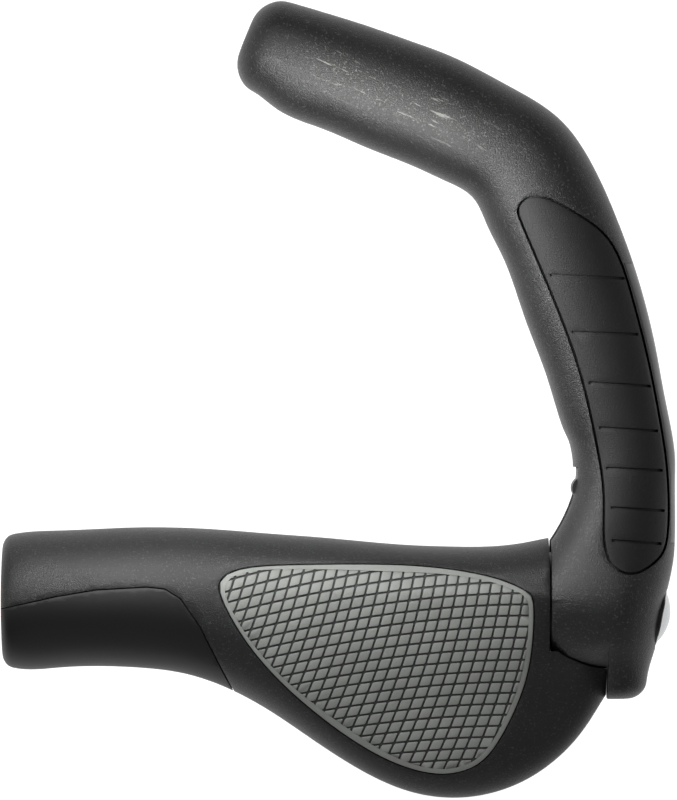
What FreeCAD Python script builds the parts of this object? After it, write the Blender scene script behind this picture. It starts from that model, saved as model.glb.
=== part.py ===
import FreeCAD, Part
import math
import os
import re

# Right-hand bar end grip, in millimetres.
# +X runs outward along the handlebar, +Y forward and +Z up. The origin is on the handlebar's
# axis at the inner end face of the grip. A palm grip with a rear wing slides on the bar; its
# core ends in a slotted collet, and the bar end ("horn") clamps round that collet.

Vector = FreeCAD.Vector
Rotation = FreeCAD.Rotation

doc = FreeCAD.newDocument("bar_end_grip")


# ---------------------------------------------------------------- driving dimensions

DIMENSIONS = {
    # a reach past every surface, for tools that cut right through
    "far": 60.0,
    # grip core: a tube on the handlebar, with a collet at its outer end and a plate in the wing
    "bore_radius": 11.15,
    "core_radius": 11.95,
    "core_start": 0.0,
    "collet_slot_start": 140.0,
    "collet_end": 157.0,
    "collet_slot_width": 1.5,
    "plate_thickness": 3.0,
    "plate_tilt": 6.3,
    # grip skin and what is let into it
    "grip_end": 136.3,
    "wing_end": 150.75,
    "end_round": 3.5,
    "inlay_depth": 1.5,
    "inlay_gap": 0.3,
    # hub of the bar end: round about the handlebar, and the wing reaches round it
    "hub_start": 136.8,
    "hub_end": 151.0,
    "hub_front": 36.0,
    "nest_gap": 0.4,
    "nest_angle": 160.0,
    "nest_front": -12.5,
    # bar end
    "pad_depth": 1.8,
    "pad_gap": 0.65,
    "cover_gap": 0.05,
    "lower_pad_start": 38.5,
    "arm_wall": 3.6,
    "tip_wall": 6.0,
    "heel_round": 5.0,
    "tip_round": 8.0,
    "rib_groove_width": 0.7,
    "rib_groove_depth": 0.7,
    # clamp, its pocket in the bar end and its screw
    "clamp_start": 139.0,
    "clamp_end": 158.5,
    "clamp_bore": 12.0,
    "clamp_radius": 13.75,
    "pocket_gap": 0.1,
    "screw_end_gap": 0.7,
    "ear_start": 143.4,
    "ear_end": 157.0,
    "ear_reach": 33.0,
    "ear_half_height": 5.8,
    "slit_half_height": 1.0,
    "lug_radius": 3.0,
    "lug_place_x": 145.1,
    "lug_place_y": 28.0,
    "bolt_place_x": 149.5,
    "bolt_place_y": 24.0,
    "thread_radius": 2.5,
    "thread_hole": 2.75,
    "thread_gap": 0.05,
    "bolt_top": 7.4,
    "head_radius": 4.25,
    "head_height": 5.0,
    "socket_radius": 2.31,
    "socket_depth": 2.6,
    "washer_radius": 5.0,
    "washer_thickness": 1.0,
    "recess_radius": 5.4,
    "nut_radius": 4.62,
    "nut_height": 4.0,
    # plug and cap in the outer end
    "plug_place_x": 164.3,
    "plug_place_y": -4.4,
    "plug_turn": -11.4,
    "plug_flange_radius": 7.8,
    "plug_flange": 2.2,
    "plug_radius": 6.4,
    "plug_length": 5.6,
    "cap_radius": 7.0,
    "cap_rim": 0.6,
    "cap_height": 2.4,
}


def make_sheet():
    """The spreadsheet of driving dimensions, each cell with its own alias."""
    table = doc.addObject("Spreadsheet::Sheet", "Size")
    for row, (alias, value) in enumerate(DIMENSIONS.items(), start=1):
        table.set(f"A{row}", alias)
        table.set(f"B{row}", str(value))
        table.setAlias(f"B{row}", alias)
    doc.recompute()
    return table


sheet = make_sheet()


def size(alias):
    """One driving dimension, read from the sheet."""
    return float(sheet.get(alias))


FAR = size("far")


# ---------------------------------------------------------------- small builders

ALONG_X = Rotation(Vector(0, 1, 0), 90)


def bind(obj, **expressions):
    """Bind properties to expressions of the sheet's aliases; x, y and z are the place."""
    for name, expression in expressions.items():
        path = f"Placement.Base.{name}" if name in ("x", "y", "z") else name
        obj.setExpression(path, re.sub(r"[a-z][a-z_]+", r"Size.\g<0>", expression))


def primitive(kind, name, turn=None, **expressions):
    """A Part primitive, turned and then bound to the sheet."""
    obj = doc.addObject("Part::" + kind, name)
    if turn is not None:
        obj.Placement = FreeCAD.Placement(Vector(), turn)
    bind(obj, **expressions)
    return obj


def fixed(name, shape):
    """A shape that Part's own functions make, kept as an object of the document."""
    obj = doc.addObject("Part::Feature", name)
    obj.Shape = shape
    return obj


def cut(name, base, *tools):
    """base less every tool."""
    for number, tool in enumerate(tools, start=1):
        step = name if number == len(tools) else f"{name}_cut_{number}"
        obj = doc.addObject("Part::Cut", step)
        obj.Base = base
        obj.Tool = tool
        base = obj
    return base


def common(name, *shapes):
    obj = doc.addObject("Part::MultiCommon", name)
    obj.Shapes = list(shapes)
    return obj


def fuse(name, *shapes):
    obj = doc.addObject("Part::MultiFuse", name)
    obj.Shapes = list(shapes)
    return obj


def loft(name, curves):
    """A solid loft through closed curves."""
    sections = [
        fixed(f"{name}_section_{number}", Part.Wire([curve.toShape()]))
        for number, curve in enumerate(curves, start=1)
    ]
    obj = doc.addObject("Part::Loft", name)
    obj.Sections = sections
    obj.Solid = True
    obj.Ruled = False
    doc.recompute()
    return obj


def closed_curve(points):
    """A smooth closed curve through points at even steps of its parameter."""
    count = len(points)
    curve = Part.BSplineCurve()
    steps = [step / count for step in range(count + 1)]
    curve.interpolate(Points=points, PeriodicFlag=True, Parameters=steps)
    return curve


def grown(points, amount):
    """A closed plan outline with each point moved outward by amount."""
    count = len(points)
    area = sum(
        points[n][0] * points[(n + 1) % count][1] - points[(n + 1) % count][0] * points[n][1]
        for n in range(count)
    )
    side = 1 if area > 0 else -1
    moved = []
    for n, (x, y) in enumerate(points):
        before, after = points[n - 1], points[(n + 1) % count]
        run_x, run_y = after[0] - before[0], after[1] - before[1]
        length = math.hypot(run_x, run_y)
        moved.append((x + side * amount * run_y / length, y - side * amount * run_x / length))
    return moved


def prism(name, points, low, high, smooth=True):
    """An upright prism on a closed plan outline, from z = low to z = high."""
    corners = [Vector(x, y, low) for x, y in points]
    if smooth:
        outline = Part.Wire([closed_curve(corners).toShape()])
    else:
        outline = Part.makePolygon(corners + corners[:1])
    profile = fixed(name + "_outline", outline)
    obj = doc.addObject("Part::Extrusion", name)
    obj.Base = profile
    obj.DirMode = "Custom"
    obj.Dir = Vector(0, 0, 1)
    obj.LengthFwd = high - low
    obj.Solid = True
    return obj


# ---------------------------------------------------------------- outer form of the grip

# x, front reach, rear reach, crown height, wing half thickness, width of the crown, droop
GRIP_STATIONS = [
    (3.5, 16.7, 17.1, 15.9, 15.9, 26.0, 0.0),
    (14.0, 17.4, 16.9, 16.0, 16.0, 26.0, 0.0),
    (34.0, 18.2, 16.9, 16.0, 16.0, 26.0, 0.0),
    (45.0, 18.1, 18.3, 15.8, 15.2, 26.0, 0.2),
    (56.0, 17.5, 22.0, 15.5, 13.4, 26.0, 0.9),
    (67.0, 16.6, 28.0, 15.2, 11.4, 26.0, 2.0),
    (78.0, 15.8, 35.5, 15.0, 9.8, 26.0, 3.4),
    (90.0, 14.7, 43.1, 14.9, 8.7, 25.0, 4.8),
    (101.0, 13.8, 48.0, 14.8, 8.0, 24.0, 5.7),
    (112.0, 13.4, 49.8, 14.8, 7.6, 22.0, 6.0),
    (123.0, 13.5, 48.4, 14.8, 7.2, 20.0, 5.7),
    (131.0, 14.5, 45.2, 14.9, 6.9, 18.0, 5.2),
    (138.0, 15.8, 40.4, 15.0, 6.5, 15.0, 4.4),
    (144.0, 15.9, 34.2, 15.2, 6.2, 13.0, 3.2),
    (147.6, 15.9, 29.0, 15.3, 5.9, 11.0, 2.4),
    (150.75, 15.9, 23.8, 15.4, 5.4, 11.0, 1.6),
]
GRIP_POINTS = 24
ROUND_POWER = 2.0  # an ellipse, for the round part of the grip
WING_POWER = 6.0  # what the full wing adds to it, for a blunt rear edge
PALM_HOLLOW = 2.2  # how far the full wing's underside is hollowed
END_STEPS = (0.03, 0.13, 0.4, 1.0)  # steps along the rounding of the inner end
ROUND_REACH = 17.0
WIDE_REACH = 50.0


def grip_section(station, inset):
    """The grip's closed section at one station, drawn in by inset on every side."""
    x, front, rear, crown, wing, spread, droop = station
    winged = min(1.0, max(0.0, (rear - ROUND_REACH) / (WIDE_REACH - ROUND_REACH)))
    power = ROUND_POWER + WING_POWER * winged
    hollow = PALM_HOLLOW * winged
    front, rear, crown, wing = (value - inset for value in (front, rear, crown, wing))
    points = []
    for step in range(GRIP_POINTS):
        angle = 2 * math.pi * step / GRIP_POINTS
        across, up = math.cos(angle), math.sin(angle)
        if across >= 0:
            points.append(Vector(x, front * across, crown * up))
            continue
        reach = -across
        height = wing + (crown - wing) * math.exp(-((rear * reach / spread) ** 2))
        middle = -droop * reach**1.5
        side = 1 if up >= 0 else -1
        z = middle + side * height * math.sqrt(max(0.0, 1 - reach**power))
        if side < 0:
            z += hollow * math.sin(math.pi * reach) ** 2
        points.append(Vector(x, rear * across, z))
    return closed_curve(points)


def grip_form(name, inset):
    """The grip's whole outer form, or the form that lies inset under it."""
    radius = size("end_round")
    sections = []
    for part_way in END_STEPS:
        drawn_in = radius - radius * math.sqrt(1 - (1 - part_way) ** 2)
        station = (inset + part_way * radius,) + GRIP_STATIONS[0][1:]
        sections.append(grip_section(station, inset + drawn_in))
    for station in GRIP_STATIONS[1:-1]:
        sections.append(grip_section(station, inset))
    last = (size("wing_end") - inset,) + GRIP_STATIONS[-1][1:]
    sections.append(grip_section(last, inset))
    return loft(name, sections)


PALM_PAD_OUTLINE = [
    (54.4, 3.6), (60.0, 8.0), (74.0, 9.0), (92.0, 9.1), (108.0, 8.3), (122.0, 5.9),
    (130.2, 2.6), (132.2, -2.0), (131.3, -15.5), (127.2, -28.5), (121.2, -38.6),
    (114.6, -42.7), (106.0, -43.0), (93.0, -38.1), (77.0, -26.8), (62.0, -11.2),
]
INNER_PANEL_OUTLINE = [
    (-3.0, -2.6), (14.3, 1.2), (24.0, 2.8), (36.5, 3.5), (40.8, 3.0), (44.6, 0.7),
    (49.4, -6.2), (57.4, -22.5), (60.0, -40.0), (-3.0, -40.0),
]
WING_PLATE_OUTLINE = [
    (48.0, -4.0), (62.0, -16.0), (78.0, -27.5), (94.0, -37.0), (112.0, -42.0),
    (124.0, -40.5), (134.0, -35.0), (141.0, -27.5), (144.0, -20.5), (134.0, -18.5),
    (132.0, -4.0),
]


def make_core():
    """Hard core: tube, collet with four slots, and the plate that stiffens the wing."""
    blank = primitive("Cylinder", "core_tube", ALONG_X, Radius="core_radius",
                      Height="collet_end - core_start", x="core_start")
    bore = primitive("Cylinder", "core_bore", ALONG_X, Radius="bore_radius",
                     Height="collet_end + 2", x="-1")
    plate = prism("wing_plate", WING_PLATE_OUTLINE, -size("plate_thickness") / 2,
                  size("plate_thickness") / 2, smooth=False)
    plate.Placement = FreeCAD.Placement(Vector(), Rotation(Vector(1, 0, 0), size("plate_tilt")))
    solid = fuse("core_blank", blank, plate)
    slots = []
    for name, turn in (("slot_flat", 45), ("slot_upright", 135)):
        slot = primitive("Box", name, Rotation(Vector(1, 0, 0), turn),
                         Length="collet_end - collet_slot_start + 1", Width="4 * core_radius",
                         Height="collet_slot_width")
        middle = Rotation(Vector(1, 0, 0), turn).multVec(
            Vector(0, -2 * size("core_radius"), -size("collet_slot_width") / 2))
        slot.Placement.Base = Vector(size("collet_slot_start"), middle.y, middle.z)
        slots.append(slot)
    return cut("grip_core", solid, bore, *slots), plate


def make_grip(plate):
    """Skin, palm pad and inner panel, all cut from one outer form."""
    form = grip_form("grip_form", 0.0)
    under = grip_form("grip_under_form", size("inlay_depth"))

    # the hub of the bar end turns inside this clearance, and the wing reaches round it
    hub_space = hub_round("hub_space", size("grip_end"), size("nest_gap"))
    front_space = primitive("Box", "front_space", Length="far", Width="far", Height="2 * far",
                            x="grip_end", y="nest_front", z="-far")
    bar_space = primitive("Cylinder", "bar_space", ALONG_X, Radius="core_radius",
                          Height="collet_end", x="-2")
    body = cut("grip_blank", form, front_space, hub_space, bar_space, plate)

    gap = size("inlay_gap")
    pad_prism = prism("palm_pad_prism", PALM_PAD_OUTLINE, 0.0, FAR)
    pad_opening = prism("palm_pad_opening", grown(PALM_PAD_OUTLINE, gap), 0.0, FAR)
    panel_prism = prism("inner_panel_prism", INNER_PANEL_OUTLINE, -FAR, FAR, smooth=False)
    panel_opening = prism("inner_panel_opening", grown(INNER_PANEL_OUTLINE, gap), -FAR, FAR,
                          smooth=False)
    skin = cut("grip_skin", body, cut("palm_pad_recess", pad_opening, under),
               cut("inner_panel_recess", panel_opening, under))
    palm_pad = cut("palm_pad", common("palm_pad_blank", form, pad_prism), under)
    inner_panel = cut("inner_panel", common("inner_panel_blank", form, panel_prism), under,
                      bar_space)
    return skin, palm_pad, inner_panel


# ---------------------------------------------------------------- outer form of the bar end

# x, y, heading in plan, reach to the inner side, reach to the outer side, half height
HORN_STATIONS = [
    (152.6, -24.6, 90.0, 11.5, 8.4, 8.8),
    (151.0, -10.0, 90.0, 20.0, 12.6, 13.9),
    (151.0, 0.0, 90.0, 28.0, 14.5, 17.1),
    (151.6, 10.0, 90.0, 20.0, 16.0, 15.7),
    (152.9, 17.0, 90.0, 15.7, 15.1, 14.9),
    (154.5, 24.0, 90.0, 13.8, 13.5, 14.3),
    (155.3, 31.0, 90.0, 12.9, 12.7, 13.9),
    (154.9, 38.0, 90.0, 13.0, 12.9, 13.5),
    (152.9, 46.0, 104.0, 13.25, 13.25, 13.2),
    (149.4, 60.1, 107.5, 14.15, 14.15, 13.1),
    (144.75, 75.0, 109.5, 15.0, 15.0, 13.1),
    (139.4, 90.1, 112.0, 15.0, 15.0, 13.1),
    (134.3, 101.0, 120.0, 15.2, 15.2, 13.1),
    (128.4, 110.3, 132.0, 14.65, 14.65, 13.0),
    (118.2, 116.8, 146.0, 14.3, 14.3, 12.9),
    (107.5, 122.1, 155.0, 14.5, 14.5, 12.8),
    (97.0, 126.2, 156.5, 14.45, 14.45, 12.7),
    (84.5, 131.0, 158.0, 14.0, 14.0, 12.5),
    (72.5, 135.5, 159.0, 13.2, 13.2, 12.3),
    (60.4, 140.0, 158.0, 11.4, 13.1, 12.1),
]
HORN_POINTS = 16
SEAM_POINT = 10  # the seam runs along the inner underside, clear of every inlay
HORN_POWER = 2.2
HUB_STEPS = 8
ROUNDING_STEPS = (0.0, 0.1, 0.3, 0.6, 1.0)
HUB_STATION = 2  # the station on the handlebar's axis
CAVITY_FIRST = 6  # the arm is hollow from this station on


def horn_section(station, inset):
    """A rounded section of the bar end, square to its heading, drawn in by inset."""
    x, y, heading, inner, outer, height = station
    angle = math.radians(heading)
    side = Vector(math.sin(angle), -math.cos(angle), 0)
    points = []
    for step in range(HORN_POINTS):
        turn = 2 * math.pi * (step + SEAM_POINT) / HORN_POINTS
        along, up = math.cos(turn), math.sin(turn)
        reach = (outer if along >= 0 else inner) - inset
        across = math.copysign(abs(along) ** (2 / HORN_POWER), along) * reach
        rise = math.copysign(abs(up) ** (2 / HORN_POWER), up) * (height - inset)
        points.append(Vector(x, y, 0) + side * across + Vector(0, 0, rise))
    return closed_curve(points)


def hub_round(name, start, gap):
    """The hub's round about the handlebar, as high as the bar end's own section is there."""
    x, _, _, inner, _, height = HORN_STATIONS[HUB_STATION]
    profile = []
    for step in range(HUB_STEPS + 1):
        place = start + (x - start) * step / HUB_STEPS
        share = 1 - ((x - place) / inner) ** HORN_POWER
        profile.append(Vector(place, 0, height * share ** (1 / HORN_POWER) + gap))
    crest = Part.BSplineCurve()
    crest.interpolate(Points=profile)
    straight = [profile[-1], Vector(x, 0, 0), Vector(start, 0, 0), profile[0]]
    outline = Part.Wire([crest.toShape()] + Part.makePolygon(straight).Edges)
    return fixed(name, Part.Face(outline).revolve(Vector(), Vector(1, 0, 0), 360))


def skinned(name, curves, along):
    """A solid whose skin passes smoothly through closed curves of equal knots.

    The curves' poles are joined lengthwise by splines on the distances in along, which makes
    one surface, closed round the bar end; flat faces close its two ends.
    """
    rows = []
    for poles in zip(*(curve.getPoles() for curve in curves)):
        lengthwise = Part.BSplineCurve()
        lengthwise.interpolate(Points=list(poles), Parameters=along)
        rows.append(lengthwise.getPoles())
    around = curves[0]
    surface = Part.BSplineSurface()
    surface.buildFromPolesMultsKnots(
        rows, around.getMultiplicities(), lengthwise.getMultiplicities(), around.getKnots(),
        lengthwise.getKnots(), True, False, around.Degree, lengthwise.Degree)
    side = surface.toShape()
    rims = [edge for edge in side.Edges if edge.isClosed()]
    shape = Part.Compound([side] + [Part.Face(Part.Wire([rim])) for rim in rims])
    shape.sewShape()
    return fixed(name, Part.Solid(shape.Shells[0]))


def shifted(station, distance, inset=0.0):
    """A station moved along its heading, with its section drawn in by inset."""
    x, y, heading, inner, outer, height = station
    angle = math.radians(heading)
    return (x + distance * math.cos(angle), y + distance * math.sin(angle), heading,
            inner - inset, outer - inset, height - inset)


def rounding(station, radius, facing):
    """Stations round the rim of an end, from its flat face back to the full section."""
    stations = []
    for part_way in ROUNDING_STEPS:
        drawn_in = radius - radius * math.sqrt(1 - (1 - part_way) ** 2)
        stations.append(shifted(station, -facing * part_way * radius, drawn_in))
    return stations


def along_stations(stations):
    """Distance of each station along the run, its section's growth counted as well."""
    along = [0.0]
    for one, two in zip(stations, stations[1:]):
        along.append(along[-1] + math.dist(one[:2] + one[4:5], two[:2] + two[4:5]))
    return along


def horn_form():
    """The bar end's outer form, with a rounded heel and tip."""
    heel = rounding(HORN_STATIONS[0], size("heel_round"), -1)
    tip = rounding(HORN_STATIONS[-1], size("tip_round"), 1)
    stations = heel + HORN_STATIONS[1:-1] + tip[::-1]
    curves = [horn_section(station, 0.0) for station in stations]
    return skinned("horn_form", curves, along_stations(stations))


def under_form(name, inset, first=0, tip_wall=0.0):
    """The form that lies inset under the bar end's surface, from one station on."""
    stations = HORN_STATIONS[first:-1] + [shifted(HORN_STATIONS[-1], -tip_wall)]
    curves = [horn_section(station, inset) for station in stations]
    return skinned(name, curves, along_stations(stations))


UPPER_PAD_OUTLINE = [
    (129.0, 95.6), (133.7, 84.4), (139.9, 69.3), (144.9, 54.2), (148.3, 38.8), (150.0, 25.5),
    (150.5, 12.4), (156.0, 7.3), (162.3, 10.1), (165.4, 16.5), (165.4, 31.0), (163.5, 45.0),
    (160.7, 59.4), (156.9, 74.4), (151.4, 88.8), (142.0, 96.4), (132.8, 100.2),
]
# grooves across the pads: inner end, outer end
PAD_GROOVES = [
    ((136.3, 81.0), (155.0, 80.2)), ((141.7, 66.8), (158.4, 66.3)),
    ((145.9, 54.3), (161.5, 53.4)), ((148.5, 43.1), (163.3, 42.3)),
    ((150.2, 33.1), (164.4, 32.5)), ((151.4, 23.3), (164.9, 22.5)),
    ((151.6, 15.2), (164.1, 14.3)),
]
SIDE_COVER_OUTLINE = [
    (166.5, 14.5), (166.5, 31.0), (164.6, 45.0), (161.8, 59.4), (158.0, 74.4), (154.9, 84.0),
    (175.0, 84.0), (175.0, 14.5),
]


def pad_grooves(under):
    """Shallow grooves across a pad's upper and lower surface."""
    half = size("rib_groove_width") / 2
    strips = []
    for number, (inner, outer) in enumerate(PAD_GROOVES, start=1):
        outline = [(inner[0], inner[1] - half), (outer[0], outer[1] - half),
                   (outer[0], outer[1] + half), (inner[0], inner[1] + half)]
        strips.append(prism(f"rib_groove_{number}", outline, -FAR, FAR, smooth=False))
    return cut("rib_grooves", fuse("rib_strips", *strips), under)


def ahead_of(name, y):
    """A block that holds everything forward of y."""
    corners = [(0.0, y), (4 * FAR, y), (4 * FAR, 4 * FAR), (0.0, 4 * FAR)]
    return prism(name, corners, -FAR, FAR, smooth=False)


def make_pads(form):
    """Upper pad, lower pad and side cover, with the openings that they fill."""
    under = under_form("horn_under_form", size("pad_depth"))
    groove_floor = under_form("groove_floor", size("rib_groove_depth"))
    grooves = pad_grooves(groove_floor)
    gap = size("pad_gap")
    upper = prism("upper_pad_prism", UPPER_PAD_OUTLINE, 0.0, FAR)
    upper_opening = prism("upper_pad_opening", grown(UPPER_PAD_OUTLINE, gap), 0.0, FAR)
    lower = prism("lower_pad_prism", UPPER_PAD_OUTLINE, -FAR, 0.0)
    lower_opening = prism("lower_pad_opening", grown(UPPER_PAD_OUTLINE, gap), -FAR, 0.0)
    ahead = ahead_of("lower_pad_ahead", size("lower_pad_start"))
    ahead_opening = ahead_of("lower_opening_ahead", size("lower_pad_start") - gap)
    cover = prism("side_cover_prism", SIDE_COVER_OUTLINE, -FAR, FAR, smooth=False)
    cover_opening = prism("side_cover_opening", grown(SIDE_COVER_OUTLINE, size("cover_gap")),
                          -FAR, FAR, smooth=False)
    upper_pad = cut("upper_pad", common("upper_pad_blank", form, upper), under, grooves)
    lower_pad = cut("lower_pad", common("lower_pad_blank", form, lower, ahead), under, grooves)
    side_cover = cut("side_cover", common("side_cover_blank", form, cover), under)
    openings = [
        cut("upper_pad_recess", upper_opening, under),
        cut("lower_pad_recess", common("lower_pad_window", lower_opening, ahead_opening), under),
        cut("side_cover_recess", cover_opening, under),
    ]
    return upper_pad, lower_pad, side_cover, openings


def make_clamp():
    """Aluminium clamp ring with two ears, a slit between them and a lug on their inner edge."""
    ring = primitive("Cylinder", "clamp_ring", ALONG_X, Radius="clamp_radius",
                     Height="clamp_end - clamp_start", x="clamp_start")
    ears = primitive("Box", "clamp_ears", Length="ear_end - ear_start",
                     Width="ear_reach - clamp_bore + 4", Height="2 * ear_half_height",
                     x="ear_start", y="clamp_bore - 4", z="-ear_half_height")
    lug = primitive("Cylinder", "clamp_lug", Radius="lug_radius", Height="2 * ear_half_height",
                    x="lug_place_x", y="lug_place_y", z="-ear_half_height")
    bore = primitive("Cylinder", "clamp_hole", ALONG_X, Radius="clamp_bore", Height="far",
                     x="clamp_start - 5")
    slit = primitive("Box", "clamp_slit", Length="far", Width="far",
                     Height="2 * slit_half_height", x="clamp_start - 5", z="-slit_half_height")
    screw_hole = primitive("Cylinder", "clamp_screw_hole", Radius="thread_hole",
                           Height="2 * far", x="bolt_place_x", y="bolt_place_y", z="-far")
    nut_seat = primitive("Prism", "clamp_nut_seat", Circumradius="nut_radius + pocket_gap",
                         Height="nut_height + 5", x="bolt_place_x", y="bolt_place_y",
                         z="ear_half_height - nut_height")
    return cut("clamp", fuse("clamp_blank", ring, ears, lug), bore, slit, screw_hole, nut_seat)


def make_clamp_pocket():
    """The keyhole pocket for the clamp, and the holes for its screw."""
    ring = primitive("Cylinder", "pocket_ring", ALONG_X, Radius="clamp_radius + pocket_gap",
                     Height="clamp_end - hub_start + 5", x="hub_start - 5")
    slot = primitive("Box", "pocket_slot", Length="clamp_end - hub_start + 5",
                     Width="ear_reach + 0.3", Height="2 * (ear_half_height + 2 * pocket_gap)",
                     x="hub_start - 5", z="-ear_half_height - 2 * pocket_gap")
    recess = primitive("Cylinder", "head_recess", Radius="recess_radius", Height="far",
                       x="bolt_place_x", y="bolt_place_y", z="1 - ear_half_height - far")
    roof_hole = primitive("Cylinder", "screw_end_hole", Radius="thread_radius + screw_end_gap",
                          Height="bolt_top + 1.5", x="bolt_place_x", y="bolt_place_y")
    return fuse("clamp_pocket", ring, slot, recess, roof_hole)


PLUG_AXIS = Rotation(Vector(0, 0, 1), size("plug_turn")).multiply(ALONG_X)


def along_plug(name, depth, radius, height):
    """A cylinder on the plug's own axis, from depth below the cap's rim plane."""
    obj = primitive("Cylinder", name, PLUG_AXIS, Radius=radius, Height=height)
    out = PLUG_AXIS.multVec(Vector(0, 0, 1))
    bind(obj, x=f"plug_place_x - ({depth}) * {out.x}", y=f"plug_place_y - ({depth}) * {out.y}")
    return obj


def make_end():
    """The plug in the outer end, the domed cap on it, and the seat for both."""
    flange = along_plug("plug_flange_disc", "plug_flange", "plug_flange_radius", "plug_flange")
    shank = along_plug("plug_shank", "plug_length", "plug_radius", "plug_length - 0.5")
    cap_seat = along_plug("cap_seat", "cap_rim", "cap_radius", "cap_rim + 5")
    plug = cut("end_plug", fuse("plug_blank", flange, shank), cap_seat)
    disc = along_plug("cap_disc", "cap_rim", "cap_radius", "cap_rim + cap_height + 1")
    ball = primitive("Sphere", "cap_ball")
    out = PLUG_AXIS.multVec(Vector(0, 0, 1))
    ball_radius = "((cap_radius * cap_radius + cap_height * cap_height) / (2 * cap_height))"
    bind(ball, Radius=ball_radius,
         x=f"plug_place_x - ({ball_radius} - cap_height) * {out.x}",
         y=f"plug_place_y - ({ball_radius} - cap_height) * {out.y}")
    cap = common("cap_badge", disc, ball)
    flange_seat = along_plug("flange_seat", "plug_flange", "plug_flange_radius + 0.1", "20")
    shank_seat = along_plug("shank_seat", "plug_length + 6", "plug_radius", "plug_length + 6")
    return plug, cap, fuse("plug_seat", flange_seat, shank_seat)


def make_screw():
    """Socket screw, washer and nut that close the clamp."""
    place = {"x": "bolt_place_x", "y": "bolt_place_y"}
    shank = primitive("Cylinder", "bolt_shank", Radius="thread_radius",
                      Height="bolt_top + ear_half_height + washer_thickness",
                      z="-ear_half_height - washer_thickness", **place)
    head = primitive("Cylinder", "bolt_head", Radius="head_radius", Height="head_height",
                     z="-ear_half_height - washer_thickness - head_height", **place)
    socket = primitive("Prism", "bolt_socket", Circumradius="socket_radius",
                       Height="socket_depth + 5",
                       z="-ear_half_height - washer_thickness - head_height - 5", **place)
    bolt = cut("clamp_bolt", fuse("bolt_blank", shank, head), socket)
    disc = primitive("Cylinder", "washer_disc", Radius="washer_radius",
                     Height="washer_thickness", z="-ear_half_height - washer_thickness", **place)
    disc_hole = primitive("Cylinder", "washer_hole", Radius="thread_hole", Height="far",
                          z="-far", **place)
    washer = cut("bolt_washer", disc, disc_hole)
    block = primitive("Prism", "nut_block", Circumradius="nut_radius", Height="nut_height",
                      z="ear_half_height - nut_height", **place)
    thread = primitive("Cylinder", "nut_thread", Radius="thread_radius + thread_gap",
                       Height="far", **place)
    nut = cut("clamp_nut", block, thread)
    return bolt, washer, nut


def make_horn():
    """The bar end's moulded body, with everything that is let into it."""
    form = horn_form()
    face = primitive("Box", "hub_face", Length="far", Width="far + hub_front", Height="2 * far",
                     x="hub_start - far", y="-far", z="-far")

    # the wing nests outside the hub's round, from straight up round the rear to the underside
    ring = primitive("Cylinder", "nest_ring",
                     ALONG_X.multiply(Rotation(Vector(0, 0, 1), 180)), Radius="far",
                     Height="hub_end - hub_start + 5", Angle="nest_angle", x="hub_start - 5")
    nest = cut("nest", ring, hub_round("hub_core", size("hub_start") - 5, 0.0))

    upper_pad, lower_pad, side_cover, openings = make_pads(form)
    plug, cap, plug_seat = make_end()
    cavity = under_form("arm_cavity", size("arm_wall"), CAVITY_FIRST, size("tip_wall"))
    body = cut("horn_body", form, face, nest, make_clamp_pocket(), cavity, plug_seat, *openings)
    return body, upper_pad, lower_pad, side_cover, plug, cap


# ---------------------------------------------------------------- the assembly

def check(nodes):
    """Every object is up to date without an error, and every piece is a sound solid."""
    for obj in doc.Objects:
        if {"Invalid", "Error"} & set(obj.State):
            raise RuntimeError(f"{obj.Name} failed: {obj.State}")
    for obj in nodes:
        shape = obj.Shape
        if shape.isNull() or not shape.isValid() or not shape.Solids:
            raise RuntimeError(f"{obj.Label} has no valid solid")
        if len(shape.Solids) != 1:
            raise RuntimeError(f"{obj.Label} has {len(shape.Solids)} solids, not one")


def main():
    grip_core, plate = make_core()
    nodes = [grip_core]
    nodes += make_grip(plate)
    nodes += make_horn()
    nodes.append(make_clamp())
    nodes += make_screw()
    doc.recompute()
    for obj in nodes:
        print(obj.Label, len(obj.Shape.Solids), round(obj.Shape.Volume), obj.Shape.BoundBox)
    check(nodes)
    os.makedirs("parts", exist_ok=True)
    for obj in nodes:
        obj.Shape.exportStep(f"parts/{obj.Label}.step")


main()
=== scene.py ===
"""Looks of a right-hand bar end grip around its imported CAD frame, laid out as an add-on."""

import math

import bmesh
import bpy
from bpy.props import FloatProperty, FloatVectorProperty, PointerProperty
from mathutils import Matrix, Vector
from mathutils.bvhtree import BVHTree
from mathutils.geometry import convex_hull_2d


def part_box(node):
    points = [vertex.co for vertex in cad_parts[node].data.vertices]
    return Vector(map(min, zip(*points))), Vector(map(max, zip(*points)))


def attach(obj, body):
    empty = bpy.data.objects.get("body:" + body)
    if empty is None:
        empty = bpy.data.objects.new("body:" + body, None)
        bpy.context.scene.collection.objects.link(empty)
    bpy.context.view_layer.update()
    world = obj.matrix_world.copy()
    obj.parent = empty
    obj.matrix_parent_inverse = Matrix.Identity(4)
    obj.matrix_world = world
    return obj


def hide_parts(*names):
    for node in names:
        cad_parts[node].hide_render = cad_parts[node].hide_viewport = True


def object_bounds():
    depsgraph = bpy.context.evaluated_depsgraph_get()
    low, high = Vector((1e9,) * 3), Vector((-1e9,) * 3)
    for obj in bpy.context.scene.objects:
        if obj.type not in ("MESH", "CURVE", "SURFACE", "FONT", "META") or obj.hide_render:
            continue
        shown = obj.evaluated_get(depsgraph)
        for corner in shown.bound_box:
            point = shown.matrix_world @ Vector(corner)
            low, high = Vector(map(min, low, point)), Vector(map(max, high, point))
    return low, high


bl_info = {
    "name": "Bar End Grip",
    "version": (1, 0, 0),
    "blender": (4, 5, 0),
    "location": "View3D > Sidebar > Bar End Grip",
    "description": "Builds the finishes and fine detail of a bar end grip on its frame",
    "category": "Object",
}

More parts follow.
